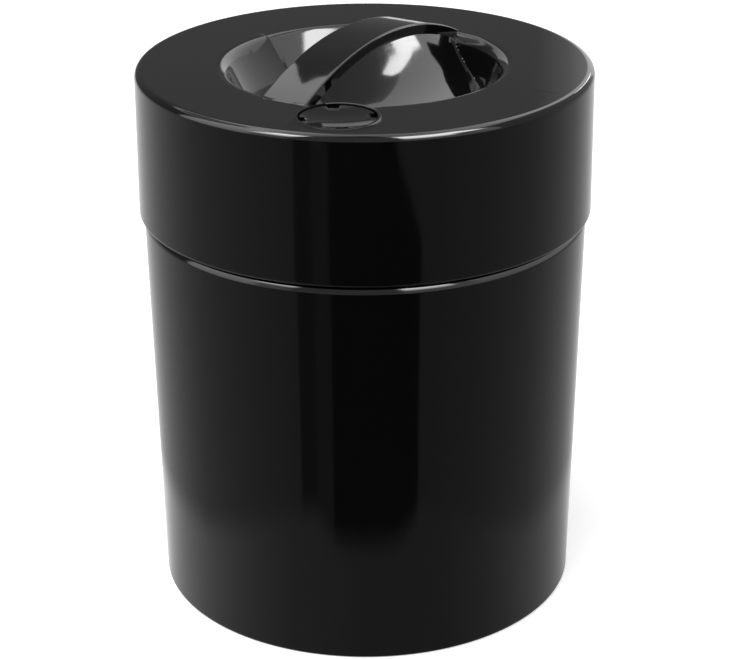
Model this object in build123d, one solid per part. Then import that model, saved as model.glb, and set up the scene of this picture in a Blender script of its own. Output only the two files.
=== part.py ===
from build123d import *
import math
import os

# A round airtight coffee canister. The lid slides over a neck, and a push button in the lid lets air
# in or out. Lengths are in millimetres, angles in degrees. +Z is up, and the origin is the middle of
# the foot ring's standing plane. The lid's plan is described along its handle bar: "along" runs down
# the bar and "across" runs square to it.

# Overall sizes
seam_height = 121.2            # table to the lower edge of the lid
lid_height = 44.2              # lid's lower edge to its top ring
lid_rim_radius = 68.3          # lid at its lower edge
lid_taper = 0.3                # how much narrower the lid is at its top
lid_overhang = 1.45            # how far the lid stands out over the body
body_taper = 2.27              # how much narrower the body is at the table than under the lid

# Body
seat_clearance = 0.3           # gap between the lid's edge and the shoulder it comes down on
shoulder_round = 1.5
base_round = 1.0
neck_gap = 0.9                 # outside of the neck to the inside of the skirt
neck_wall = 2.2
neck_top_gap = 11.3            # top of the neck to the underside of the ring
bore_draft = 0.35
floor_thickness = 2.8
floor_round = 4.0              # inside corner between floor and wall
foot_recess = 1.2              # how far the floor lies above the table
foot_ring_width = 5.0
neck_lead_in = 0.8             # bevel round the neck's top edge
neck_root_round = 0.8

# Neck seal
groove_depth = 1.0
groove_height = 4.0
groove_below_top = 3.4         # neck's top edge to the upper side of the groove
seal_web = 0.8                 # thickness of the band that lies in the groove
seal_lip = 0.7                 # thickness of each lip
seal_lip_count = 2
seal_lip_drop = 0.8            # how far each lip hangs down outwards
seal_clearance = 0.25          # lips to the inside of the skirt

# Lid
wall = 2.6                     # skirt, ring and recess
lid_edge_round = 2.0
rim_round = 0.5
skirt_corner_round = 2.0
skirt_lead_in = 0.8

# Recess and handle
ring_width = 23.5              # lid's top edge to the recess
recess_depth = 12.5
handle_angle = 58.8            # bar's direction, from +X
bar_width = 15.0
bar_crown = 10.0               # bar's highest line above the ring plane
bar_lip = 3.0                  # upright edge under the bar's top
bar_edge_round = 0.6
flare_margin = 6.0             # where the bar's flank runs out into the hollow's floor, to the recess's edge
flare_steepness = 0.62         # 0 is a straight flank, 1 drops at once below the lip
bowl_margin = 2.5              # how much smaller a hollow's bowl is than the recess
bowl_offset = 0.8              # bowl's middle from the lid's axis, away from the steep end
steep_inset = 5.5              # how far the bowl draws in at the bottom, at its steep end
gentle_inset = 13.0            # the same, at its gentle end
steep_direction = -33.0        # steep end of a hollow, from the bar's direction
recess_edge_round = 1.6
scallop_margin = 3.6           # how much smaller than the bowl the cone is that bevels its steep end
scallop_offset = 5.0           # cone's middle from the lid's axis, towards the steep end
scallop_slope = 33.4

# Valve
valve_inset = 16.95            # lid's top edge to the valve's axis
valve_angle = -98.4            # valve's direction, from +X
button_radius = 10.8
button_clearance = 0.3
collar_thickness = 1.0         # thin wall round the button
well_floor = 2.0
press_travel = 2.6
press_room = 1.65              # pressed button's skirt to the well's floor
button_sink = 0.35             # button's edge below the ring plane
button_dish = 1.3              # how far the button's top is hollowed
button_disc = 2.6              # thickness at the edge
button_skirt_length = 4.4
button_skirt_wall = 1.1
notch_count = 4
notch_width = 4.2
notch_depth = 1.1
notch_first_angle = 8.0
stem_radius = 2.2
stem_clearance = 0.05          # running fit of the stem in its guide
guide_wall = 0.9
guide_height = 1.4
air_hole_count = 6
air_hole_radius = 0.9
air_hole_circle = 4.7
washer_radius = 6.4
washer_thickness = 1.4
clip_radius = 4.2
clip_thickness = 0.9
clip_slot = 3.0                # opening in the clip, where it goes onto the stem
stem_groove_depth = 0.5
stem_tip = 1.0                 # stem below its clip
spring_wire = 0.6
spring_coil_radius = 4.3       # middle of the wire
spring_turns = 4
spring_clearance = 0.1         # spring's ends to what they press on

# Valve guard
spigot_inner_radius = 7.3
spigot_wall = 1.2
spigot_height = 2.0
guard_wall = 1.2
guard_fit = 0.02               # guard on its spigot
guard_room = 1.1               # pressed stem's tip to the guard's floor
guard_slot_count = 8
guard_slot_width = 2.0
guard_floor_hole_radius = 1.2
guard_floor_hole_circle = 4.5
guard_floor_hole_count = 6

# One overrun lets every cutting solid pass clear through what it cuts.
overrun = 1.0

# Sizes that follow from the ones above
ring_height = seam_height + lid_height
lid_top_radius = lid_rim_radius - lid_taper
shoulder_radius = lid_rim_radius - lid_overhang
base_radius = shoulder_radius - body_taper
wall_draft = body_taper / seam_height
skirt_draft = lid_taper / lid_height
shoulder_height = seam_height - seat_clearance
skirt_bore_radius = lid_rim_radius - wall
neck_radius = skirt_bore_radius - neck_gap
neck_top_height = ring_height - wall - neck_top_gap
neck_top_radius = neck_radius - (neck_top_height - shoulder_height) * skirt_draft
neck_bore_radius = neck_top_radius - neck_wall
recess_radius = lid_top_radius - ring_width
bowl_radius = recess_radius - bowl_margin
scallop_radius = bowl_radius - scallop_margin
bar_half = bar_width / 2
flare_foot = recess_radius - flare_margin
flare_reach = flare_foot - bar_half
recess_reach = recess_radius + 2 * recess_edge_round
bar_arc_radius = (recess_radius**2 + bar_crown**2) / (2 * bar_crown)
well_radius = button_radius + button_clearance
collar_radius = well_radius + collar_thickness
well_depth = button_sink + button_skirt_length + press_travel + press_room
well_bottom = well_depth + well_floor
valve_reach = lid_top_radius - valve_inset
valve_x = valve_reach * math.cos(math.radians(valve_angle))
valve_y = valve_reach * math.sin(math.radians(valve_angle))
guide_radius = stem_radius + stem_clearance
spigot_radius = spigot_inner_radius + spigot_wall
guard_radius = spigot_radius + guard_fit + guard_wall
stem_below = washer_thickness + clip_thickness + stem_tip
guard_depth = stem_below + press_travel + guard_room + guard_wall


def skirt_bore_at(height):
    """Inside radius of the skirt at a height above the table."""
    return skirt_bore_radius - (height - seam_height) * skirt_draft


def ring(outer, inner, low, high):
    """Tube on the Z axis from one height to another."""
    blank = Pos(0, 0, low) * Cylinder(outer, high - low, align=(Align.CENTER, Align.CENTER, Align.MIN))
    if inner == 0:
        return blank
    bore = Pos(0, 0, low - overrun) * Cylinder(
        inner, high - low + 2 * overrun, align=(Align.CENTER, Align.CENTER, Align.MIN)
    )
    return blank - bore


def turned(points):
    """Solid of revolution from an outline in the XZ plane."""
    outline = Polyline(*[(across, 0, height) for across, height in points], close=True)
    return revolve(make_face(outline), Axis.Z)


def circles_at(solid, radius, height, slack):
    """Edges of a turned solid that lie near a radius and a height."""
    found = ShapeList()
    for edge in solid.edges().filter_by(GeomType.CIRCLE):
        middle = edge.center(CenterOf.BOUNDING_BOX)
        near_axis = math.hypot(middle.X, middle.Y) < slack
        if near_axis and abs(edge.radius - radius) < slack and abs(middle.Z - height) < slack:
            found.append(edge)
    return found


def make_body():
    """Container: tapered wall, shoulder, neck with a seal groove, floor and foot ring."""
    floor_top = foot_recess + floor_thickness
    bore_taper = math.tan(math.radians(bore_draft))
    foot_inner = base_radius - foot_ring_width
    outer = turned(
        [
            (0, foot_recess),
            (foot_inner - foot_recess, foot_recess),
            (foot_inner, 0),
            (base_radius, 0),
            (base_radius + shoulder_height * wall_draft, shoulder_height),
            (neck_radius, shoulder_height),
            (neck_top_radius, neck_top_height),
            (0, neck_top_height),
        ]
    )
    slack = base_round / 2
    outer = fillet(circles_at(outer, base_radius, 0, slack), base_round)
    shoulder_edge = base_radius + shoulder_height * wall_draft
    outer = fillet(circles_at(outer, shoulder_edge, shoulder_height, slack), shoulder_round)
    outer = fillet(circles_at(outer, neck_radius, shoulder_height, slack), neck_root_round)
    outer = chamfer(circles_at(outer, neck_top_radius, neck_top_height, slack), neck_lead_in)
    bore_floor_radius = neck_bore_radius - (neck_top_height - floor_top) * bore_taper
    bore = turned(
        [
            (0, floor_top),
            (bore_floor_radius, floor_top),
            (neck_bore_radius, neck_top_height),
            (neck_bore_radius, neck_top_height + overrun),
            (0, neck_top_height + overrun),
        ]
    )
    bore = fillet(circles_at(bore, bore_floor_radius, floor_top, slack), floor_round)
    groove_high = neck_top_height - groove_below_top
    groove = ring(
        neck_radius + overrun, neck_radius - groove_depth, groove_high - groove_height, groove_high
    )
    return outer - bore - groove


def make_neck_seal():
    """Soft band in the neck's groove, with lips that hang outwards and down."""
    groove_high = neck_top_height - groove_below_top
    inner = neck_radius - groove_depth
    band = ring(inner + seal_web, inner, groove_high - groove_height, groove_high)
    for number in range(seal_lip_count):
        root = groove_high - number * groove_height / seal_lip_count
        reach = skirt_bore_at(root) - seal_clearance
        lip = turned(
            [
                (inner, root),
                (inner + seal_web, root),
                (reach, root - seal_lip_drop),
                (reach, root - seal_lip_drop - seal_lip / 2),
                (inner + seal_web, root - seal_lip),
                (inner, root - seal_lip),
            ]
        )
        band = band + lip
    return band


def bar_height(along, shrink):
    """Height of the bar's arched top above the ring plane, or of a shell that lies inside it."""
    radius = bar_arc_radius - shrink
    return bar_crown - bar_arc_radius + math.sqrt(radius**2 - along**2)


def hollow_section(along, grow):
    """Section of one finger hollow, square to the bar, on the side where Y is negative."""
    edge = bar_half - grow
    lip_foot = bar_height(along, grow + bar_lip)
    floor = -recess_depth - grow
    drop = lip_foot - floor
    top = bar_crown + overrun
    far = recess_reach + grow + overrun
    flank = Bezier(
        (along, -edge, lip_foot),
        (along, -edge - flare_reach * (1 - flare_steepness) / 2, lip_foot - drop * flare_steepness),
        (along, -flare_foot + flare_reach * flare_steepness, floor),
        (along, -flare_foot, floor),
    )
    rest = Polyline(
        (along, -flare_foot, floor),
        (along, -far, floor),
        (along, -far, top),
        (along, -edge, top),
        (along, -edge, lip_foot),
    )
    return make_face(flank + rest)


def recess_bowl(grow):
    """Slanting round bowl that bounds one hollow: steep at one end, gentle at the other."""
    depth = recess_depth + grow + overrun
    draw_in = (steep_inset + gentle_inset) / 2 * depth / recess_depth
    shift = (gentle_inset - steep_inset) / 2 * depth / recess_depth
    rim = Pos(-bowl_offset, 0, 0) * Circle(bowl_radius + grow)
    floor = Pos(shift - bowl_offset, 0, -depth) * Circle(bowl_radius + grow - draw_in)
    flange = extrude(Circle(recess_reach + grow), bar_crown + 2 * overrun)
    bowl = loft([floor, rim]) + flange
    if grow == 0:
        bowl = fillet(rim_edges(bowl, bowl_radius), recess_edge_round) + steep_scallop(flange)
    return Rot(0, 0, steep_direction) * bowl


def steep_scallop(flange):
    """Shallow cone that bevels the rim at the bowl's steep end, with its own rounded edge."""
    depth = scallop_radius / 2 * math.tan(math.radians(scallop_slope))
    rim = Pos(scallop_offset, 0, 0) * Circle(scallop_radius)
    low = Pos(scallop_offset, 0, -depth) * Circle(scallop_radius / 2)
    cone = loft([low, rim]) + flange
    return fillet(rim_edges(cone, scallop_radius), recess_edge_round)


def rim_edges(solid, radius):
    """Circular edges of one radius in the ring plane."""
    slack = recess_edge_round / 2
    edges = solid.edges().filter_by(GeomType.CIRCLE)
    return edges.filter_by(lambda edge: abs(edge.radius - radius) < slack and abs(edge.center().Z) < slack)


def finger_hollow(grow):
    """Solid that cuts one finger hollow, or with grow the space that its moulded wall fills."""
    reach = recess_reach + grow
    station_shares = (-1.0, -0.6, -0.2, 0.2, 0.6, 1.0)
    sections = [hollow_section(share * reach, grow) for share in station_shares]
    return loft(sections) & recess_bowl(grow)


def handle_mound(shrink):
    """Arched bar, and under it the mound that the two hollows cut down to its flanks."""
    reach = recess_reach
    parts = []
    for lowered, half in ((shrink, bar_half - shrink), (shrink + bar_lip, reach)):
        end = bar_height(reach, lowered)
        crown = (0, 0, bar_height(0, lowered))
        arch = ThreePointArc((-reach, 0, end), crown, (reach, 0, end))
        rest = Polyline(
            (reach, 0, end), (reach, 0, -recess_depth), (-reach, 0, -recess_depth), (-reach, 0, end)
        )
        parts.append(extrude(make_face(arch + rest), half, dir=(0, 1, 0), both=True))
    bar, mound = parts
    if shrink == 0:
        bar = fillet(bar.edges().group_by(Axis.Z)[-1], bar_edge_round)
    return bar + (mound & ring(recess_radius, 0, -recess_depth, bar_crown))


def at_ring(shape, angle):
    """Place a shape that is drawn about the ring plane, turned about the lid's axis."""
    return Pos(0, 0, ring_height) * Rot(0, 0, angle) * shape


def at_valve(shape):
    """Place a shape that is drawn about the valve's axis with the ring plane as zero."""
    return Pos(valve_x, valve_y, ring_height) * shape


def make_cap():
    """Lid in one moulding: skirt, ring, recess with its bar and hollows, and the valve's well."""
    blank = turned(
        [
            (0, seam_height),
            (lid_rim_radius, seam_height),
            (lid_top_radius, ring_height),
            (0, ring_height),
        ]
    )
    blank = fillet(circles_at(blank, lid_top_radius, ring_height, rim_round), lid_edge_round)
    blank = fillet(circles_at(blank, lid_rim_radius, seam_height, rim_round), rim_round)
    roof = ring_height - wall
    bore_top_radius = skirt_bore_at(roof)
    inside = turned(
        [
            (0, seam_height - overrun),
            (skirt_bore_radius + skirt_lead_in + overrun, seam_height - overrun),
            (skirt_bore_radius, seam_height + skirt_lead_in),
            (bore_top_radius, roof),
            (0, roof),
        ]
    )
    inside = fillet(circles_at(inside, bore_top_radius, roof, rim_round), skirt_corner_round)
    blank = blank + at_ring(handle_mound(0), handle_angle)
    inside = inside + at_ring(handle_mound(wall), handle_angle)
    for turn in (0, 180):
        inside = inside - at_ring(finger_hollow(wall), handle_angle + turn)
    inside = inside - at_valve(ring(collar_radius, 0, -well_bottom, 0))
    shell = blank - inside
    for turn in (0, 180):
        shell = shell - at_ring(finger_hollow(0), handle_angle + turn)
    collar = at_valve(ring(collar_radius, 0, -well_bottom, 0))
    shell = shell + collar
    shell = shell - at_valve(ring(well_radius, 0, -well_depth, bar_crown))
    spigot = ring(spigot_radius, spigot_inner_radius, -well_bottom - spigot_height, -well_bottom)
    guide = ring(guide_radius + guide_wall, 0, -well_depth, -well_depth + guide_height)
    shell = shell + at_valve(spigot) + at_valve(guide)
    cuts = [ring(guide_radius, 0, -well_bottom - overrun, -well_depth + guide_height + overrun)]
    for number in range(air_hole_count):
        turn = Rot(0, 0, number * 360 / air_hole_count) * Pos(air_hole_circle, 0, 0)
        cuts.append(turn * ring(air_hole_radius, 0, -well_bottom - overrun, -well_depth + overrun))
    for cut in cuts:
        shell = shell - at_valve(cut)
    return shell


def make_button():
    """Push button: dished disc, skirt, four edge notches and a stem with a groove for its clip."""
    top = -button_sink
    dish_radius = (button_radius**2 + button_dish**2) / (2 * button_dish)
    disc = ring(button_radius, 0, top - button_disc, top)
    skirt = ring(
        button_radius, button_radius - button_skirt_wall, top - button_skirt_length, top - button_disc / 2
    )
    dish = Pos(0, 0, top - button_dish + dish_radius) * Sphere(dish_radius)
    clip_top = -well_bottom - washer_thickness
    stem = ring(stem_radius, 0, -well_bottom - stem_below, top - button_disc / 2 - button_dish / 2)
    groove = ring(stem_radius + overrun, stem_radius - stem_groove_depth, clip_top - clip_thickness, clip_top)
    button = disc + skirt + stem - dish - groove
    notch = Pos(button_radius, 0, top) * Box(2 * notch_depth, notch_width, 2 * button_disc)
    for number in range(notch_count):
        button = button - Rot(0, 0, notch_first_angle + number * 360 / notch_count) * notch
    return at_valve(button)


def make_spring():
    """Coil spring between the well's floor and the button."""
    low = -well_depth + spring_clearance + spring_wire / 2
    high = -button_sink - button_disc - spring_clearance - spring_wire / 2
    pitch = (high - low) / spring_turns
    path = Helix(pitch, high - low, spring_coil_radius)
    start = Plane(origin=path @ 0, z_dir=path % 0)
    coil = sweep(start * Circle(spring_wire / 2), path=path)
    return at_valve(Pos(0, 0, low) * coil)


def make_washer():
    """Soft washer on the stem, under the air holes."""
    return at_valve(ring(washer_radius, stem_radius, -well_bottom - washer_thickness, -well_bottom))


def make_clip():
    """Open clip in the stem's groove."""
    top = -well_bottom - washer_thickness
    clip = ring(clip_radius, stem_radius - stem_groove_depth, top - clip_thickness, top)
    slot = Pos(clip_radius / 2, 0, top) * Box(clip_radius, clip_slot, 4 * clip_thickness)
    return at_valve(clip - slot)


def make_guard():
    """Slotted cup that keeps beans off the valve."""
    low = -well_bottom - guard_depth
    inner = guard_radius - guard_wall
    cup = ring(guard_radius, 0, low, -well_bottom) - ring(inner, 0, low + guard_wall, -well_bottom + overrun)
    slot_low = low + 2 * guard_wall
    slot_high = -well_bottom - spigot_height - guard_wall
    slot = Pos(guard_radius, 0, (slot_low + slot_high) / 2) * Box(
        4 * guard_wall, guard_slot_width, slot_high - slot_low
    )
    for number in range(guard_slot_count):
        cup = cup - Rot(0, 0, number * 360 / guard_slot_count) * slot
    for number in range(guard_floor_hole_count):
        turn = Rot(0, 0, number * 360 / guard_floor_hole_count) * Pos(guard_floor_hole_circle, 0, 0)
        cup = cup - turn * ring(guard_floor_hole_radius, 0, low - overrun, low + guard_wall + overrun)
    return at_valve(cup)


PIECES = {
    "canister_body": make_body,
    "neck_seal": make_neck_seal,
    "cap_shell": make_cap,
    "valve_button": make_button,
    "button_spring": make_spring,
    "valve_seal": make_washer,
    "seal_clip": make_clip,
    "valve_guard": make_guard,
}

os.makedirs("parts", exist_ok=True)
for name, make in PIECES.items():
    piece = make()
    piece.label = name
    export_step(piece, f"parts/{name}.step")
    print(name, len(piece.solids()), "solid", round(piece.volume), "mm3")
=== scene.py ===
import math

import bmesh
import bpy
import numpy as np
from mathutils import Matrix, Vector


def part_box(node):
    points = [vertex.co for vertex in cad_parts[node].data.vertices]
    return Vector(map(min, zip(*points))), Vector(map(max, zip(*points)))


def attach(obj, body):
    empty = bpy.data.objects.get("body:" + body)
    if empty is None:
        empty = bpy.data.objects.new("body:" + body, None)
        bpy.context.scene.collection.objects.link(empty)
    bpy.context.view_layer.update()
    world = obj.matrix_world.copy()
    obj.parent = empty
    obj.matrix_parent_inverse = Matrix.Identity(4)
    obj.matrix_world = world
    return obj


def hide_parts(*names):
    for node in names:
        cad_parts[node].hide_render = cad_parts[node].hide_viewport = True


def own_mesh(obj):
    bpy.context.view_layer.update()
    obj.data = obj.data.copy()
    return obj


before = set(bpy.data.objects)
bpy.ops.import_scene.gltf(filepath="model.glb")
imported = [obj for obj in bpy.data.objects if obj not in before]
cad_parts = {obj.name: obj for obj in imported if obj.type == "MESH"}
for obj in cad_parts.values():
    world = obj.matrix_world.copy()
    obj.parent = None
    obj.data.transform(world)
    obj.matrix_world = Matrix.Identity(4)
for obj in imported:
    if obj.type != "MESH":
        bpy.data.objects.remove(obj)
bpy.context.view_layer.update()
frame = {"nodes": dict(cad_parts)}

# Black coffee canister with a push-button valve, on a pale studio floor. Lengths are in metres and
# angles in degrees. The lid's plan is described along its handle bar: "along" runs down the bar and
# "across" runs square to it, towards the hollow on the right.
MM = 0.001

# Sizes read from the frame
body_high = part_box("canister_body")[1]
cap_low, cap_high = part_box("cap_shell")
button_low, button_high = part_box("valve_button")
seam = cap_low.z
rim_radius = (cap_high.x - cap_low.x) / 2
button_centre = (button_low + button_high) / 2

# Lid
bar_crown = 10.0 * MM
ring_top = cap_high.z - bar_crown
lid_taper = 0.3 * MM
wall = 2.6 * MM
lid_edge_round = 2.0 * MM
seam_edge_round = 1.1 * MM
skirt_corner_round = 2.0 * MM
skirt_lead_in = 0.8 * MM

# Recess and handle
recess_radius = 44.5 * MM
recess_depth = 12.5 * MM
handle_angle = 58.8
bar_half = 7.5 * MM
bar_lip = 3.0 * MM
bar_edge_round = 0.6 * MM
lip_draft = 0.08 * MM
flare_foot = 38.5 * MM
flare_reach = flare_foot - bar_half
flare_steepness = 0.62
bowl_radius = 42.0 * MM
bowl_offset = 0.8 * MM
steep_inset = 5.5 * MM
gentle_inset = 13.0 * MM
steep_direction = 33.0
foot_blend = 0.3 * MM
gentle_rim_round = 1.6 * MM
steep_rim_round = 5.3 * MM
rim_round_fade = 3.0

# Mesh density
row_step = 0.6
column_count = 200
disc_margin = 4.5 * MM
lip_rows = (-1.0, -0.6, -0.45, -0.3, -0.15, -0.05, 0.0, 0.08, 0.5, 1.2)
flank_steps = 200
column_crowding = 0.85
turn_count = 480
valve_turn_count = 192
hole_turn_count = 24
arc_steps = 6
dish_steps = 12
hold = 0.4 * MM
held_run = 1.6 * MM
merge_distance = 0.001 * MM
row_gap = 0.03 * MM
overrun = 1.0 * MM

# Valve
collar_radius = 12.1 * MM
well_radius = 11.1 * MM
well_depth = 9.0 * MM
well_floor = 2.0 * MM
collar_edge_round = 0.25 * MM
collar_proud = 0.02 * MM
guide_radius = 2.25 * MM
guide_wall = 0.9 * MM
guide_height = 1.4 * MM
air_hole_count = 6
air_hole_radius = 0.9 * MM
air_hole_circle = 4.7 * MM
spigot_radius = 8.5 * MM
spigot_wall = 1.2 * MM
spigot_height = 2.0 * MM

# Button
button_radius = 10.8 * MM
button_sink = 0.35 * MM
button_dish = 1.3 * MM
button_disc = 2.6 * MM
button_edge_round = 0.3 * MM
button_edge_start = 60
button_skirt_length = 4.4 * MM
button_skirt_wall = 1.2 * MM
notch_count = 4
notch_width = 3.8 * MM
notch_depth = 1.7 * MM
notch_first_angle = 8.0
stem_radius = 2.2 * MM
stem_groove_depth = 0.5 * MM
stem_groove_height = 0.9 * MM
stem_tip = 1.0 * MM
stem_tip_bevel = 0.3 * MM

# Spring
spring_wire = 0.6 * MM
spring_coil_radius = 4.3 * MM
spring_turns = 4
spring_steps = 36
spring_sides = 12

# Body
base_radius = 64.58 * MM
base_round = 1.0 * MM
# The shoulder rolls over in arcs, each given by its radius and the angle that it ends at.
SHOULDER_EDGE = ((1.0 * MM, 12), (4.2 * MM, 31), (0.6 * MM, 90))
seat_clearance = 0.9 * MM
foot_recess = 1.2 * MM
foot_ring_width = 5.0 * MM
floor_thickness = 2.8 * MM
floor_round = 4.0 * MM
neck_radius = 64.8 * MM
neck_root_round = 0.8 * MM
neck_lead_in = 0.8 * MM
neck_wall = 2.2 * MM
bore_draft = 0.35
groove_depth = 1.0 * MM
groove_height = 4.0 * MM
groove_below_top = 3.4 * MM

# Materials. Each surface has its colour, roughness, grain in marks per metre, height of the grain's
# relief, metallic share and how its grain is scaled along each axis. The values below say how far
# tone and gloss vary and where edges wear.
SURFACES = {
    "moulded_plastic": ((0.0026, 0.0026, 0.0027), 0.07, 900, 0.0004 * MM, 0.0, (1, 1, 1)),
    "button_plastic": ((0.0040, 0.0040, 0.0042), 0.1, 1100, 0.0006 * MM, 0.0, (1, 1, 1)),
    "silicone": ((0.050, 0.052, 0.054), 0.5, 1600, 0.004 * MM, 0.0, (1, 1, 1)),
    "spring_steel": ((0.55, 0.55, 0.56), 0.28, 1200, 0.002 * MM, 1.0, (1, 1, 6)),
    "guard_plastic": ((0.010, 0.010, 0.0105), 0.38, 2600, 0.006 * MM, 0.0, (1, 1, 1)),
}
surface_ior = 1.5
broad_scale = 14.0
broad_detail = 3
grain_detail = 5
grain_low = 0.3
grain_high = 0.7
tone_spread = 0.25
gloss_spread = 0.3
worn_from = 0.52
worn_to = 0.62
worn_share = 0.3

# Camera, from the photograph's frame of 731 by 659 pixels
photo_width = 731
principal_x = 365.97
focal_pixels = 2185.5
camera_distance = 681.5 * MM
camera_pitch = 23.65
camera_roll = -0.326
camera_target_height = 79.1 * MM
sensor_width = 36.0
clip_start = 0.01
clip_end = 20.0

# Painted reflection of a room on a glowing dome that only reflections see and that lights nothing.
# Azimuths run from the viewer's side, 0, to the right. Each panel is its azimuths and elevations, its
# brightness at the low and the high edge, and the softness of its edges.
room_glow = 1.0
dome_radius = 2.4
dome_step = 1.0
dome_lowest = -6.0
STUDIO_PANELS = (
    (-200, 200, 54, 96, 3.0, 1.0, 12),      # ceiling
    (-40, 20, 58, 96, 0.3, 0.15, 8),        # dark part of it above the viewer
    (-163, -56, -30, 64, 1.0, 4.2, 8),      # left wall
    (56, 172, -30, 64, 0.6, 2.6, 8),        # right wall
    (172, 262, -30, 37, 0.13, 0.19, 4),     # dark back wall
    (165, 262, 38, 60, 0.5, 0.9, 4),        # dim band above it
    (188, 204, 41, 60, 2.3, 2.6, 3),        # light at the back
    (200, 214, 47, 60, 2.5, 2.6, 3),        # and its upper left end
    (-38, 18, -30, 62, 0.5, 0.5, 6),        # dim space on the viewer's side
    (-60, -37, 22, 56, 2.5, 24, 4),         # left softbox
    (19, 46, 18, 42, 2.5, 20, 4),           # right softbox
    (19, 68, 38, 60, 19, 19, 4),            # head of the right softbox
)

# Glowing sheets close to the lid that only reflections see and that light nothing. They paint
# highlights, light and shade into its hollows, handle, rim and button. Each upright has its x, y, low
# edge, high edge and brightness, in millimetres, with heights above the ring.
NEAR_PAINTED_SHEETS = (
    # painted highlight: the bright streak on the right hollow's flank; this strip lights nothing
    ("strip_highlight", ((94, 31, 35.5, 36.8, 11), (94, 34.7, 32, 37.4, 11), (94, 38, 29.5, 37.8, 11),
                    (94, 44, 27.5, 35.6, 11), (94, 50, 22, 30.3, 11), (94, 57, 20, 25.9, 11),
                    (94, 67, 20, 23.5, 11))),
    # painted grey reflection on the right side
    ("right_grey_reflection", ((95, -80, -5, 80, 0.4), (95, 20, -5, 80, 0.42), (95, 27, -5, 71, 0.45),
                   (95, 38, -5, 69, 0.6), (95, 44, -5, 69, 0.8))),
    # painted highlight on the recess rim at the far right
    ("rim_highlight", ((18, 49, 10, 20, 1.0), (35, 49, 10, 20, 1.0))),
    # dark sheet: painted shade on the steep wall inside the right hollow
    ("steep_wall_shade", ((27, 27, -9, -0.6, 0.01), (33, 13, -8, -0.6, 0.01), (37, 2, -6, -0.6, 0.01))),
    # painted dim reflection from behind the recess
    ("back_dim_reflection", ((16, 44, 40, 74, 0.2), (0, 47, 40, 74, 0.2), (-16, 44, 40, 74, 0.2),
                    (-31.4, 34.9, 40, 74, 0.2), (-32.6, 33.8, 57, 74, 0.2), (-39.4, 25.6, 73.5, 74, 0.2))),
    # painted highlight: the light crescent on the button's dish
    ("button_highlight", ((-16, -33, -0.5, 3.2, 0.5), (4.5, -33, -0.5, 3.2, 0.5))),
    # painted light and highlight on the far wall of the left hollow
    ("left_hollow_light", ((-38, 35, -13, -0.6, 0.5), (-30, 29.5, -13, 0.3, 0.85), (-12, 18, -13, 2.5, 1.7))),
)
# Dark sheets that paint shade into the right hollow and onto the bar's lip. They lie in one upright
# plane with the camera, so the ring meets them edge on. They are seen from the bar's side only, and
# each upright has its y, low edge, high edge and brightness.
camera_plane_slope = 0.0642
EDGE_ON_SHADE_SHEETS = (
    # painted shade on the right hollow's steep far wall
    ("right_hollow_shade", ((30, -1, 7, 0.01), (33, -1, 8.5, 0.01), (38, -1, 6, 0.01), (60, -1, 6, 0.01))),
    # painted shade on the bar's lip
    ("lip_shade", ((-15, -1, 5.8, 0.1), (30, -1, 5.8, 0.1))),
)

# Painted reflection of the table in the upright walls, on a glowing sheet just above it that only
# reflections see. TABLE_GLOW is its brightness far out and TABLE_NEAR_GLOW close to the foot, by how
# far a place lies round from the viewer's side. TABLE_NEAR_SHARE shortens the near part in the same
# way, and RIGHT_TURN is how much the right side's own shares count there. Each dark patch painted on
# the sheet is a range of azimuths, with its east edge near and far out, its brightness and the
# softness of its edges.
table_step = 0.5
table_rings = 90
table_reach = 3.0
table_lift = 0.2 * MM
table_overlap = 3.0 * MM
table_right_share = 0.82
table_near_right_share = 0.65
RIGHT_TURN = ((-180, 0), (-20, 0), (60, 1), (120, 1), (180, 0))
TABLE_NEAR_SHARE = ((30, 1), (90, 0.45), (180, 0.3))
table_near_reach = 48.0 * MM
table_near_fade = 26.0 * MM
table_corner_rise = 20.0 * MM
table_corner_power = 4
table_corner_near = 430.0 * MM
table_corner_far = 560.0 * MM
TABLE_GLOW = ((0, 0.16), (34, 0.16), (60, 0.23), (90, 0.34), (120, 0.56), (150, 0.9), (180, 1.0))
TABLE_NEAR_GLOW = ((0, 0.2), (40, 0.25), (62, 0.39), (90, 0.68), (106, 0.82), (127, 1.15), (180, 1.3))
TABLE_DARK_PATCHES = ((-35, -25.5, -25.5, 0.04, 1.5), (-25.5, -18, -18, 0.08, 2), (-18, 27.5, 15, 0.0, 2))

# Floor and plain light
floor_size = 6.0
floor_tone = 0.8
floor_lift = 0.5
world_light = 0.55
lamp_place = (-0.3, -0.3, 1.2)
lamp_target = (0, 0, 0.1)
lamp_size = 1.0
lamp_power = 16


def shade(mesh, sharp_angle=32.0):
    """Smooth shading, with edges kept crisp where faces meet at more than an angle."""
    mesh.shade_smooth()
    mesh.set_sharp_from_angle(angle=math.radians(sharp_angle))


def mesh_from(name, points, faces):
    """Clean closed mesh from points and faces."""
    mesh = bpy.data.meshes.new(name)
    mesh.from_pydata([tuple(point) for point in points], [], [tuple(face) for face in faces])
    build = bmesh.new()
    build.from_mesh(mesh)
    bmesh.ops.remove_doubles(build, verts=build.verts, dist=merge_distance)
    bmesh.ops.recalc_face_normals(build, faces=build.faces)
    build.to_mesh(mesh)
    build.free()
    return mesh


def piece_from(name, mesh, body, slot, *replaced):
    """Piece with a mesh that rides on a body of the frame and stands for some of its nodes."""
    shade(mesh)
    piece = bpy.data.objects.new(name, mesh)
    bpy.context.scene.collection.objects.link(piece)
    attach(piece, body)
    if replaced:
        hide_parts(*replaced)
    return piece


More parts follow.
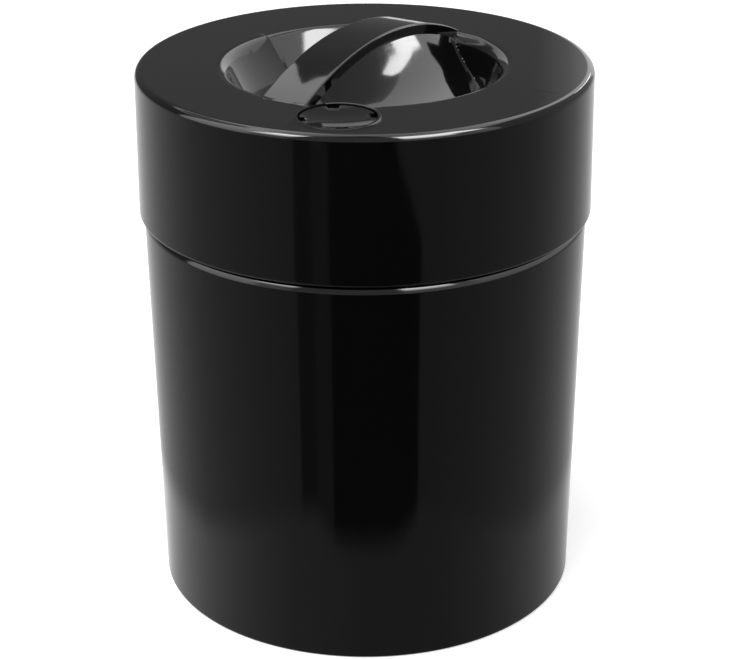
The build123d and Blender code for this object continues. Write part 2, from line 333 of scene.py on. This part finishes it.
def combine(mesh, tool, operation):
    """Mesh after a boolean with a tool mesh."""
    scene = bpy.context.scene
    target = bpy.data.objects.new("combine_target", mesh)
    cutter = bpy.data.objects.new("combine_tool", tool)
    scene.collection.objects.link(target)
    scene.collection.objects.link(cutter)
    step = target.modifiers.new("combine", "BOOLEAN")
    step.object = cutter
    step.operation = operation
    step.solver = "EXACT"
    bpy.context.view_layer.update()
    graph = bpy.context.evaluated_depsgraph_get()
    made = bpy.data.meshes.new_from_object(target.evaluated_get(graph), depsgraph=graph)
    bpy.data.objects.remove(target)
    bpy.data.objects.remove(cutter)
    return made


def arc(centre, radius, start, end):
    """Points (radius, height) along an arc, with angles from the outward direction."""
    turns = np.radians(np.linspace(start, end, arc_steps + 1))
    return [(centre[0] + radius * math.cos(t), centre[1] + radius * math.sin(t)) for t in turns]


def rolled_edge(radius, top, parts):
    """Edge that rolls from an upright wall to a level top in arcs of (radius, angle reached)."""
    turns = [0] + [math.radians(end) for _, end in parts]
    steps = list(zip(parts, turns, turns[1:]))
    height = top - sum(size * (math.sin(after) - math.sin(before)) for (size, _), before, after in steps)
    place, points = (radius, height), []
    for (size, _), before, after in steps:
        centre = (place[0] - size * math.cos(before), place[1] - size * math.sin(before))
        points += arc(centre, size, math.degrees(before), math.degrees(after))[1 if points else 0:]
        place = points[-1]
    return points


def turned(profile, angles, centre=(0.0, 0.0), closed=False):
    """Points and faces turned from a profile of (radius, height)."""
    points, faces, rings = [], [], []
    for radius, height in profile:
        used = angles if radius > 0 else angles[:1]
        rings.append(range(len(points), len(points) + len(used)))
        for angle in used:
            x = centre[0] + radius * math.cos(angle)
            y = centre[1] + radius * math.sin(angle)
            points.append((x, y, height))
    count = len(angles)
    pairs = list(zip(rings, rings[1:]))
    if closed:
        pairs.append((rings[-1], rings[0]))
    for low, high in pairs:
        for step in range(count):
            after = (step + 1) % count
            corners = [low[step % len(low)], low[after % len(low)]]
            corners += [high[after % len(high)], high[step % len(high)]]
            faces.append(list(dict.fromkeys(corners)))
    return points, faces


def held(profile):
    """Outline with points on its long runs, close to the roundings, so that smooth shading stays there."""
    lengths = [math.dist(start, end) for start, end in zip(profile, profile[1:])]
    placed = []
    for number, (start, end) in enumerate(zip(profile, profile[1:])):
        placed.append(start)
        length = lengths[number]
        shares = []
        if number > 0 and lengths[number - 1] < held_run < length:
            shares.append(hold / length)
        if number < len(lengths) - 1 and lengths[number + 1] < held_run < length:
            shares.append(1 - hold / length)
        for share in shares:
            placed.append(tuple(a + (b - a) * share for a, b in zip(start, end)))
    return placed + [profile[-1]]


def full_turn(count):
    """Angles of evenly spaced steps round a full turn."""
    return [2 * math.pi * step / count for step in range(count)]


def smooth_max(first, second, blend):
    """The higher of two heights, with the corner between them filled over a blend."""
    share = np.maximum(blend - np.abs(first - second), 0) / blend
    return np.maximum(first, second) + share * share * blend / 4


def bar_height(along, lowered=0.0):
    """Height of the bar's arched top above the ring, or of a shell that lies inside it."""
    arch = (recess_radius**2 + bar_crown**2) / (2 * bar_crown)
    return bar_crown - arch + np.sqrt((arch - lowered) ** 2 - along**2)


def flank_table():
    """Share of the reach, and of the drop that is left there, down a hollow's flank."""
    steps = np.linspace(0, 1, flank_steps)
    knots = ((0, 1), ((1 - flare_steepness) / 2, 1 - flare_steepness), (1 - flare_steepness, 0), (1, 0))
    weights = ((1 - steps) ** 3, 3 * steps * (1 - steps) ** 2, 3 * steps**2 * (1 - steps), steps**3)
    reach = sum(weight * knot[0] for weight, knot in zip(weights, knots))
    left = sum(weight * knot[1] for weight, knot in zip(weights, knots))
    return reach, left


def flank_height(along, across, grow):
    """Height of the flank that runs from under the bar's lip to the hollow's floor."""
    floor = -recess_depth - grow
    lip_foot = bar_height(along, grow + bar_lip)
    share = np.clip((across - (bar_half - grow)) / (flare_reach + grow), 0, 1)
    reach, left = flank_table()
    return floor + (lip_foot - floor) * np.interp(share, reach, left)


def toward_steep(along, across):
    """How far points lie towards the hollow's steep end, and which share of their distance that is."""
    turn = math.radians(steep_direction)
    toward = along * math.cos(turn) + across * math.sin(turn)
    return toward, toward / np.maximum(np.hypot(along, across), merge_distance)


def bowl_height(along, across, grow):
    """Height of the slanting bowl's wall, and how far it retreats for each unit of depth."""
    sink = (steep_inset + gentle_inset) / 2 / recess_depth
    shift = (gentle_inset - steep_inset) / 2 / recess_depth
    toward, share = toward_steep(along, across)
    rim = bowl_radius + grow
    square = shift**2 - sink**2
    linear = 2 * rim * sink - 2 * shift * (toward + bowl_offset)
    distance_square = along**2 + across**2 + 2 * bowl_offset * toward + bowl_offset**2
    rest = distance_square - rim**2
    depth = (-linear + np.sqrt(linear**2 - 4 * square * rest)) / (2 * square)
    return -depth, sink - shift * share


def rounded_rim(bowl, retreat, share):
    """Bowl's wall with its rim rounded by an arc that is largest at the steep end."""
    radius = gentle_rim_round + (steep_rim_round - gentle_rim_round) * ((1 + share) / 2) ** rim_round_fade
    slope = np.arctan2(1, retreat)
    tangent = radius * np.tan(slope / 2)
    inward = tangent - bowl * retreat
    arc_drop = radius - np.sqrt(np.maximum(radius**2 - np.clip(inward, 0, radius * np.sin(slope)) ** 2, 0))
    return np.where(inward > radius * np.sin(slope), bowl, -arc_drop)


def hollow_height(along, across, grow=0.0):
    """Height of one finger hollow at points on its side of the bar."""
    bowl, retreat = bowl_height(along, across, grow)
    share = toward_steep(along, across)[1]
    flank = flank_height(along, across, grow)
    side = rounded_rim(bowl, retreat, share) if grow == 0 else np.minimum(bowl, -grow)
    blend = np.clip(-2 * np.maximum(side, flank), lip_draft, foot_blend)
    return smooth_max(side, flank, blend)


def top_height(along, across):
    """Height of the lid's top above the ring plane."""
    height = np.where(across > 0, hollow_height(along, across), hollow_height(-along, -across))
    side = np.abs(across)
    rounding = np.clip(side - (bar_half - bar_edge_round), 0, bar_edge_round)
    crown = bar_height(along) - bar_edge_round + np.sqrt(bar_edge_round**2 - rounding**2)
    height = np.where(side <= bar_half, np.maximum(crown, height), height)
    outside = np.hypot(along, across) > recess_radius
    return np.where(outside, np.minimum(height, 0), height)


def under_height(along, across):
    """Height of the moulding's inner side, below the ring plane."""
    right, left = hollow_height(along, across, wall), hollow_height(-along, -across, wall)
    height = np.where(across > 0, right, left)
    crown = bar_height(along, wall)
    height = np.where(np.abs(across) <= bar_half - wall, np.maximum(crown, height), height)
    outside = np.hypot(along, across) > recess_radius
    return np.where(outside, np.minimum(height, -wall), height)


def disc_rows():
    """Places of the disc's rows, evenly spaced round its rim and close together at the bar's lips."""
    radius = recess_radius + disc_margin
    rows = [radius * math.sin(math.radians(turn)) for turn in np.arange(-90, 90 + row_step / 2, row_step)]
    for edge in (bar_half, bar_half - wall):
        for side in (-1, 1):
            rows += [side * (edge + offset * MM) for offset in lip_rows]
    rows.sort()
    kept = [rows[0]]
    for row in rows[1:]:
        if row - kept[-1] > row_gap:
            kept.append(row)
    kept[-1] = radius
    return radius, kept


def plan_place(along, across):
    """Place in the lid's plan of a point given along and across the bar."""
    turn = math.radians(handle_angle)
    x = along * math.cos(turn) + across * math.sin(turn)
    y = along * math.sin(turn) - across * math.cos(turn)
    return x, y


def disc(height_at, first):
    """Points and faces of a disc over the recess, and the azimuths of its rim in order."""
    radius, rows = disc_rows()
    shares = np.sin(np.linspace(-math.pi / 2, math.pi / 2, column_count + 1) * column_crowding)
    shares = shares / shares[-1]
    points, faces, lines = [], [], []
    for row in rows:
        half = math.sqrt(max(radius**2 - row**2, 0))
        along = shares * half if half > merge_distance else np.zeros(1)
        height = height_at(along, np.full_like(along, row))
        x, y = plan_place(along, row)
        lines.append(range(first + len(points), first + len(points) + len(along)))
        points += list(zip(x, y, ring_top + height))
    for low, high in zip(lines, lines[1:]):
        for step in range(column_count):
            corners = [low[min(step, len(low) - 1)], low[min(step + 1, len(low) - 1)]]
            corners += [high[min(step + 1, len(high) - 1)], high[min(step, len(high) - 1)]]
            faces.append(list(dict.fromkeys(corners)))
    rim = [(math.sqrt(max(radius**2 - row**2, 0)), row) for row in rows]
    rim += [(-along, across) for along, across in rim[-2:0:-1]]
    azimuths = [math.atan2(*reversed(plan_place(along, across))) for along, across in rim]
    return points, faces, azimuths


def valve_solid(profile):
    """Mesh turned about the valve's axis from an outline given from the ring plane."""
    placed = [(radius, ring_top + height) for radius, height in profile]
    points, faces = turned(placed, full_turn(valve_turn_count), button_centre[:2])
    return mesh_from("valve_solid", points, faces)


def air_holes():
    """Ring of rods that cuts the air holes through the well's floor."""
    points, faces = [], []
    low = ring_top - well_depth - well_floor - overrun
    high = ring_top - well_depth + overrun
    for turn in full_turn(air_hole_count):
        centre = (
            button_centre.x + air_hole_circle * math.cos(turn),
            button_centre.y + air_hole_circle * math.sin(turn),
        )
        rod = [(0, low), (air_hole_radius, low), (air_hole_radius, high), (0, high)]
        rod_points, rod_faces = turned(rod, full_turn(hole_turn_count), centre)
        faces += [[len(points) + corner for corner in face] for face in rod_faces]
        points += rod_points
    return mesh_from("air_holes", points, faces)


def lid_side():
    """Outline of the lid's ring and skirt, from the disc's rim round to its underside."""
    disc_radius = recess_radius + disc_margin
    top_radius = rim_radius - lid_taper
    bore_radius = rim_radius - wall
    bore_top = bore_radius - lid_taper
    roof = ring_top - wall
    profile = [(disc_radius, ring_top)]
    profile += arc((top_radius - lid_edge_round, ring_top - lid_edge_round), lid_edge_round, 90, 0)
    profile += arc((rim_radius - seam_edge_round, seam + seam_edge_round), seam_edge_round, 0, -90)
    profile += [(bore_radius + skirt_lead_in, seam), (bore_radius, seam + skirt_lead_in)]
    profile += arc((bore_top - skirt_corner_round, roof - skirt_corner_round), skirt_corner_round, 0, 90)
    profile += [(disc_radius, roof)]
    return held(profile)


def with_valve_well(mesh):
    """Lid's mesh with the well for the button, its guide and air holes, and the spigot below."""
    well_bottom = -well_depth - well_floor
    spigot_bottom = well_bottom - spigot_height
    collar = [(0, spigot_bottom), (spigot_radius, spigot_bottom), (spigot_radius, well_bottom)]
    collar += [(collar_radius, well_bottom)]
    edge_centre = (collar_radius - collar_edge_round, collar_proud - collar_edge_round)
    collar += arc(edge_centre, collar_edge_round, 0, 90)
    collar += [(0, collar_proud)]
    mesh = combine(mesh, valve_solid(collar), "UNION")
    boss_radius = guide_radius + guide_wall
    boss_top = -well_depth + guide_height
    spigot_inner = spigot_radius - spigot_wall
    well = [(0, bar_crown), (well_radius, bar_crown), (well_radius, -well_depth)]
    well += [(boss_radius, -well_depth), (boss_radius, boss_top), (guide_radius, boss_top)]
    well += [(guide_radius, well_bottom), (spigot_inner, well_bottom)]
    well += [(spigot_inner, spigot_bottom - overrun), (0, spigot_bottom - overrun)]
    mesh = combine(mesh, valve_solid(well), "DIFFERENCE")
    return combine(mesh, air_holes(), "DIFFERENCE")


def make_lid():
    """Lid in one moulding: ring, skirt, recess with its bar and hollows, and the valve's well."""
    points, faces, azimuths = disc(top_height, 0)
    under_points, under_faces, _ = disc(under_height, len(points))
    points += under_points
    faces += under_faces
    side_points, side_faces = turned(lid_side(), azimuths)
    faces += [[len(points) + corner for corner in face] for face in side_faces]
    points += side_points
    mesh = with_valve_well(mesh_from("lid", points, faces))
    return piece_from("lid", mesh, "lid", "lid_plastic", "cap_shell")


def make_body():
    """Container: tapered wall, shoulder, neck with a seal groove, floor and foot ring."""
    shoulder_radius = body_high.x
    shoulder = seam - seat_clearance
    neck_top = body_high.z
    foot_inner = base_radius - foot_ring_width
    floor_top = foot_recess + floor_thickness
    draft = math.tan(math.radians(bore_draft))
    neck_taper = lid_taper * (neck_top - seam) / (ring_top - seam)
    neck_top_radius = neck_radius - neck_taper
    bore_top = neck_top_radius - neck_wall
    bore_floor = bore_top - (neck_top - floor_top) * draft
    groove_high = neck_top - groove_below_top
    groove_low = groove_high - groove_height
    profile = [(0, foot_recess), (foot_inner - foot_recess, foot_recess), (foot_inner, 0)]
    profile += arc((base_radius - base_round, base_round), base_round, -90, 0)
    profile += rolled_edge(shoulder_radius, shoulder, SHOULDER_EDGE)
    profile += arc((neck_radius + neck_root_round, shoulder + neck_root_round), neck_root_round, -90, -180)
    profile += [(neck_radius, groove_low), (neck_radius - groove_depth, groove_low)]
    profile += [(neck_radius - groove_depth, groove_high), (neck_radius, groove_high)]
    profile += [(neck_top_radius, neck_top - neck_lead_in), (neck_top_radius - neck_lead_in, neck_top)]
    profile += [(bore_top, neck_top)]
    profile += arc((bore_floor - floor_round, floor_top + floor_round), floor_round, 0, -90)
    profile += [(0, floor_top)]
    mesh = mesh_from("canister", *turned(held(profile), full_turn(turn_count)))
    return piece_from("canister", mesh, "container", "body_plastic", "canister_body")


def make_button():
    """Push button: dished top with notches in its edge, a skirt, and a stem grooved for its clip."""
    top = ring_top - button_sink
    disc_low = top - button_disc
    skirt_inner = button_radius - button_skirt_wall
    dish = (button_radius**2 + button_dish**2) / (2 * button_dish)
    across = np.linspace(0, button_radius - button_edge_round, dish_steps)
    profile = [(radius, top - button_dish + dish - math.sqrt(dish**2 - radius**2)) for radius in across]
    edge_centre = (button_radius - button_edge_round, top - button_edge_round)
    profile += arc(edge_centre, button_edge_round, button_edge_start, 0)
    profile += [(button_radius, disc_low)]
    notched = len(profile)
    groove_low = button_low.z + stem_tip
    groove_high = groove_low + stem_groove_height
    profile += [(button_radius, disc_low), (button_radius, top - button_skirt_length)]
    profile += [(skirt_inner, top - button_skirt_length), (skirt_inner, disc_low), (stem_radius, disc_low)]
    profile += [(stem_radius, groove_high), (stem_radius - stem_groove_depth, groove_high)]
    profile += [(stem_radius - stem_groove_depth, groove_low), (stem_radius, groove_low)]
    profile += [(stem_radius, button_low.z + stem_tip_bevel), (stem_radius - stem_tip_bevel, button_low.z)]
    profile += [(0, button_low.z)]
    points, faces = turned(profile, full_turn(turn_count))
    notched_points = 1 + (notched - 1) * turn_count
    placed = []
    for number, (x, y, z) in enumerate(points):
        radius, angle = math.hypot(x, y), math.degrees(math.atan2(y, x))
        pitch = 360 / notch_count
        nearest = (angle - notch_first_angle + pitch / 2) % pitch - pitch / 2
        beside = abs(radius * math.sin(math.radians(nearest)))
        if number < notched_points and beside < notch_width / 2 and radius > button_radius - notch_depth:
            shrink = (button_radius - notch_depth) / radius
            x, y = x * shrink, y * shrink
        placed.append((button_centre.x + x, button_centre.y + y, z))
    mesh = mesh_from("button", placed, faces)
    return piece_from("button", mesh, "button", "button_plastic", "valve_button")


def make_spring():
    """Coil spring on the well's floor."""
    low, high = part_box("button_spring")
    rise = high.z - low.z - spring_wire
    stations = spring_turns * spring_steps + 1
    points = []
    for share in np.linspace(0, 1, stations):
        turn = 2 * math.pi * spring_turns * share
        outward = Vector((math.cos(turn), math.sin(turn), 0))
        climb = rise / (2 * math.pi * spring_turns * spring_coil_radius)
        forward = Vector((-math.sin(turn), math.cos(turn), climb)).normalized()
        upward = outward.cross(forward)
        middle = Vector((button_centre.x, button_centre.y, low.z + spring_wire / 2 + rise * share))
        middle += outward * spring_coil_radius
        for side in range(spring_sides):
            angle = 2 * math.pi * side / spring_sides
            reach = outward * math.cos(angle) + upward * math.sin(angle)
            points.append(tuple(middle + reach * spring_wire / 2))
    faces = ring_faces(stations, spring_sides)
    faces += [tuple(range(spring_sides)), tuple(range(len(points) - spring_sides, len(points)))]
    mesh = mesh_from("coil_spring", points, faces)
    spring = piece_from("coil_spring", mesh, "lid", "spring_steel", "button_spring")
    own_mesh(spring)
    return spring


def surface(name):
    """Material of one of SURFACES, whose tone, gloss and relief vary a little."""
    tone, roughness, grain, lift, metallic, stretch = SURFACES[name]
    material = bpy.data.materials.new(name)
    material.use_nodes = True
    tree = material.node_tree
    nodes, links = tree.nodes, tree.links
    shader = nodes["Principled BSDF"]
    shader.inputs["IOR"].default_value = surface_ior
    shader.inputs["Metallic"].default_value = metallic
    place = nodes.new("ShaderNodeTexCoord")
    stretched = nodes.new("ShaderNodeMapping")
    stretched.inputs["Scale"].default_value = stretch
    links.new(place.outputs["Object"], stretched.inputs["Vector"])

    def noise(scale, detail):
        made = nodes.new("ShaderNodeTexNoise")
        made.inputs["Scale"].default_value = scale
        made.inputs["Detail"].default_value = detail
        links.new(stretched.outputs["Vector"], made.inputs["Vector"])
        return made.outputs["Fac"]

    cloud, marks = noise(broad_scale, broad_detail), noise(grain, grain_detail)
    edges = nodes.new("ShaderNodeNewGeometry")
    worn = nodes.new("ShaderNodeMapRange")
    worn.inputs["From Min"].default_value = worn_from
    worn.inputs["From Max"].default_value = worn_to
    worn.inputs["To Max"].default_value = worn_share
    links.new(edges.outputs["Pointiness"], worn.inputs["Value"])
    share = nodes.new("ShaderNodeMath")
    share.operation = "MULTIPLY_ADD"
    share.inputs[1].default_value = 1 - worn_share
    links.new(cloud, share.inputs[0])
    links.new(worn.outputs["Result"], share.inputs[2])
    tones = nodes.new("ShaderNodeMix")
    tones.data_type = "RGBA"
    tones.inputs["A"].default_value = (*(level * (1 - tone_spread) for level in tone), 1)
    tones.inputs["B"].default_value = (*(level * (1 + tone_spread) for level in tone), 1)
    links.new(share.outputs[0], tones.inputs["Factor"])
    links.new(tones.outputs["Result"], shader.inputs["Base Color"])
    gloss = nodes.new("ShaderNodeMapRange")
    gloss.inputs["From Min"].default_value = grain_low
    gloss.inputs["From Max"].default_value = grain_high
    gloss.inputs["To Min"].default_value = roughness * (1 - gloss_spread)
    gloss.inputs["To Max"].default_value = roughness * (1 + gloss_spread)
    links.new(marks, gloss.inputs["Value"])
    links.new(gloss.outputs["Result"], shader.inputs["Roughness"])
    relief = nodes.new("ShaderNodeBump")
    relief.inputs["Strength"].default_value = 1.0
    relief.inputs["Distance"].default_value = lift
    links.new(marks, relief.inputs["Height"])
    links.new(relief.outputs["Normal"], shader.inputs["Normal"])
    return material


def dress(piece, material):
    """Gives a piece or a carried-over node its one material."""
    piece.data.materials.clear()
    piece.data.materials.append(material)


def make_camera():
    """Camera of the photograph: slightly above, square to the valve, with a long lens."""
    data = bpy.data.cameras.new("camera")
    data.sensor_width = sensor_width
    data.lens = focal_pixels / photo_width * sensor_width
    data.clip_start = clip_start
    data.clip_end = clip_end
    camera = bpy.data.objects.new("camera", data)
    bpy.context.scene.collection.objects.link(camera)
    pitch = math.radians(camera_pitch)
    target = Vector((0, 0, camera_target_height))
    back = Vector((0, -math.cos(pitch), math.sin(pitch)))
    camera.location = target + back * camera_distance
    aim = (-back).to_track_quat("-Z", "Y").to_matrix().to_4x4()
    camera.matrix_world = Matrix.Translation(camera.location) @ aim @ Matrix.Rotation(
        math.radians(camera_roll), 4, "Z"
    )
    data.shift_x = (photo_width / 2 - principal_x) / photo_width
    bpy.context.scene.camera = camera


def smooth_step(share):
    """Smooth rise from 0 to 1, level before a share of 0 and after 1."""
    share = np.clip(share, 0, 1)
    return share * share * (3 - 2 * share)


def soft_range(value, low, high, softness):
    """1 inside a range and 0 outside it, with smooth edges."""
    return smooth_step(np.minimum(value - low, high - value) / softness + 0.5)


def reflected_sheet(name, points, faces, glow, from_behind=False):
    """Glowing sheet that only reflections see, if need be only from behind, with a glow per point: a
    painted reflection that lights nothing.
    """
    mesh = bpy.data.meshes.new(name)
    mesh.from_pydata(points, [], faces)
    mesh.attributes.new("glow", "FLOAT", "POINT").data.foreach_set("value", glow)
    sheet = bpy.data.objects.new(name, mesh)
    bpy.context.scene.collection.objects.link(sheet)
    material = bpy.data.materials.new(name)
    material.use_nodes = True
    tree = material.node_tree
    tree.nodes.clear()
    output = tree.nodes.new("ShaderNodeOutputMaterial")
    light = tree.nodes.new("ShaderNodeEmission")
    brightness = tree.nodes.new("ShaderNodeAttribute")
    brightness.attribute_name = "glow"
    tree.links.new(brightness.outputs["Fac"], light.inputs["Strength"])
    tree.links.new(light.outputs["Emission"], output.inputs["Surface"])
    if from_behind:
        sides = tree.nodes.new("ShaderNodeNewGeometry")
        choice = tree.nodes.new("ShaderNodeMixShader")
        clear = tree.nodes.new("ShaderNodeBsdfTransparent")
        tree.links.new(sides.outputs["Backfacing"], choice.inputs[0])
        tree.links.new(clear.outputs[0], choice.inputs[1])
        tree.links.new(light.outputs["Emission"], choice.inputs[2])
        tree.links.new(choice.outputs[0], output.inputs["Surface"])
    dress(sheet, material)
    sheet.visible_camera = False
    sheet.visible_diffuse = False
    sheet.visible_shadow = False


def ring_faces(rows, columns):
    """Faces of a grid of points that closes on itself round every row."""
    faces = []
    for low in range(0, (rows - 1) * columns, columns):
        high = low + columns
        for step in range(columns):
            after = (step + 1) % columns
            faces.append((low + step, low + after, high + after, high + step))
    return faces


def make_studio():
    """Glowing dome that only the gloss sees, painted as a room's walls, ceiling and softboxes that light
    nothing.
    """
    azimuths = np.arange(0, 360, dome_step)
    elevations = np.arange(dome_lowest, 90 + dome_step / 2, dome_step)
    azimuth, elevation = np.meshgrid(azimuths, elevations)
    glow = np.full(azimuth.shape, room_glow)
    for west, east, low, high, low_glow, high_glow, softness in STUDIO_PANELS:
        middle = (west + east) / 2
        aside = (azimuth - middle + 180) % 360 - 180
        cover = soft_range(aside, west - middle, east - middle, softness)
        cover = cover * soft_range(elevation, low, high, softness)
        rise = np.clip((elevation - low) / (high - low), 0, 1)
        glow = glow + (low_glow + (high_glow - low_glow) * rise - glow) * cover
    turn, lift = np.radians(azimuth), np.radians(elevation)
    x = dome_radius * np.cos(lift) * np.sin(turn)
    y = -dome_radius * np.cos(lift) * np.cos(turn)
    z = ring_top + dome_radius * np.sin(lift)
    points = np.stack([x, y, z], axis=-1).reshape(-1, 3)
    reflected_sheet("studio_dome", points.tolist(), ring_faces(*azimuth.shape), glow.ravel())


def make_painted_near_sheets():
    """Glowing sheets round the recess that only reflections see, painting highlights and shade, close
    enough for each hollow to see them differently.
    """
    camera_y = -camera_distance * math.cos(math.radians(camera_pitch)) / MM
    cards = [(name, uprights, False) for name, uprights in NEAR_PAINTED_SHEETS]
    for name, uprights in EDGE_ON_SHADE_SHEETS:
        placed = [(camera_plane_slope * (rest[0] - camera_y), *rest) for rest in uprights]
        cards.append((name, placed, True))
    for name, uprights, from_behind in cards:
        x, y, low, high, level = (np.array(values) for values in zip(*uprights))
        edges = [np.stack([x * MM, y * MM, ring_top + edge * MM], axis=-1) for edge in (low, high)]
        count = len(uprights)
        faces = [(step, step + 1, count + step + 1, count + step) for step in range(count - 1)]
        reflected_sheet(name, np.concatenate(edges).tolist(), faces, np.tile(level, 2), from_behind)


def make_table_sheen():
    """Glowing sheet that only reflections see: the table's painted reflection in the upright walls, dark
    in front and brighter towards the back.
    """
    azimuths = np.arange(0, 360, table_step)
    ranges = np.geomspace(base_radius - table_overlap, table_reach, table_rings)
    azimuth, distance = np.meshgrid(azimuths, ranges)
    turn = np.radians(azimuth)
    x, y = distance * np.sin(turn), -distance * np.cos(turn)
    seen = np.degrees(np.arctan2(x, -(y + rim_radius / 2)))
    spread = np.abs(seen)
    right = np.interp(seen, *zip(*RIGHT_TURN))
    glow = np.interp(spread, *zip(*TABLE_GLOW)) * (1 - (1 - table_right_share) * right)
    # dark patches painted into the table's reflection
    for west, near_east, far_east, level, softness in TABLE_DARK_PATCHES:
        east = np.interp(distance, (table_corner_near, table_corner_far), (near_east, far_east))
        glow = glow + (level - glow) * soft_range(seen, west, east, softness)
    beside = distance - rim_radius
    near = np.interp(spread, *zip(*TABLE_NEAR_GLOW)) * (1 - (1 - table_near_right_share) * right)
    corner = np.clip(spread / TABLE_DARK_PATCHES[-1][1], 0, 1) ** table_corner_power
    reach = table_near_reach + table_corner_rise * corner
    reach = reach * np.interp(spread, *zip(*TABLE_NEAR_SHARE))
    glow = near + (glow - near) * smooth_step((beside - reach) / table_near_fade)
    points = np.stack([x, y, np.full_like(x, table_lift)], axis=-1).reshape(-1, 3)
    reflected_sheet("table_sheen", points.tolist(), ring_faces(*azimuth.shape), glow.ravel())


def make_lamp():
    """Soft square lamp that lights the surfaces and isn't mirrored in them."""
    data = bpy.data.lights.new("overhead", "AREA")
    data.shape = "RECTANGLE"
    data.size = lamp_size
    data.size_y = lamp_size
    data.energy = lamp_power
    lamp = bpy.data.objects.new("overhead", data)
    bpy.context.scene.collection.objects.link(lamp)
    lamp.location = lamp_place
    lamp.rotation_euler = (Vector(lamp_target) - Vector(lamp_place)).to_track_quat("-Z", "Y").to_euler()
    lamp.visible_glossy = False


def background_rays(tree):
    """1 for rays from the camera and for reflected and transmitted ones, 0 for diffuse light."""
    path = tree.nodes.new("ShaderNodeLightPath")
    rays = path.outputs["Is Camera Ray"]
    for kind in ("Is Glossy Ray", "Is Transmission Ray"):
        either = tree.nodes.new("ShaderNodeMath")
        either.operation = "MAXIMUM"
        tree.links.new(rays, either.inputs[0])
        tree.links.new(path.outputs[kind], either.inputs[1])
        rays = either.outputs[0]
    return rays


def make_floor():
    """Pale floor that shows white to the camera outside the canister's shadow."""
    mesh = bpy.data.meshes.new("floor")
    half = floor_size / 2
    corners = [(-half, -half, 0), (half, -half, 0), (half, half, 0), (-half, half, 0)]
    mesh.from_pydata(corners, [], [(0, 1, 2, 3)])
    floor = bpy.data.objects.new("floor", mesh)
    bpy.context.scene.collection.objects.link(floor)
    material = bpy.data.materials.new("floor")
    material.use_nodes = True
    tree = material.node_tree
    shader = tree.nodes["Principled BSDF"]
    shader.inputs["Base Color"].default_value = (floor_tone, floor_tone, floor_tone, 1)
    shader.inputs["Roughness"].default_value = 1.0
    shader.inputs["Specular IOR Level"].default_value = 0.0
    shader.inputs["Emission Color"].default_value = (1, 1, 1, 1)
    level = tree.nodes.new("ShaderNodeMath")
    level.operation = "MULTIPLY"
    level.inputs[1].default_value = floor_lift
    tree.links.new(background_rays(tree), level.inputs[0])
    tree.links.new(level.outputs[0], shader.inputs["Emission Strength"])
    dress(floor, material)


def make_world():
    """White surroundings for the camera and reflections, with an even soft light on the object."""
    world = bpy.data.worlds.new("studio")
    bpy.context.scene.world = world
    world.use_nodes = True
    tree = world.node_tree
    backdrop = tree.nodes["Background"]
    backdrop.inputs["Color"].default_value = (1, 1, 1, 1)
    level = tree.nodes.new("ShaderNodeMapRange")
    level.inputs["To Min"].default_value = world_light
    level.inputs["To Max"].default_value = 1.0
    tree.links.new(background_rays(tree), level.inputs["Value"])
    tree.links.new(level.outputs["Result"], backdrop.inputs["Strength"])


lid = make_lid()
canister = make_body()
button = make_button()
moulded = surface("moulded_plastic")
dress(lid, moulded)
dress(canister, moulded)
dress(button, surface("button_plastic"))
silicone = surface("silicone")
steel = surface("spring_steel")
nodes = frame["nodes"]
dress(nodes["neck_seal"], silicone)
dress(nodes["valve_seal"], silicone)
dress(make_spring(), steel)
dress(nodes["seal_clip"], steel)
dress(nodes["valve_guard"], surface("guard_plastic"))
make_studio()
make_painted_near_sheets()
make_table_sheen()
make_floor()
make_world()
make_camera()
make_lamp()
bpy.context.scene.view_settings.view_transform = "Standard"
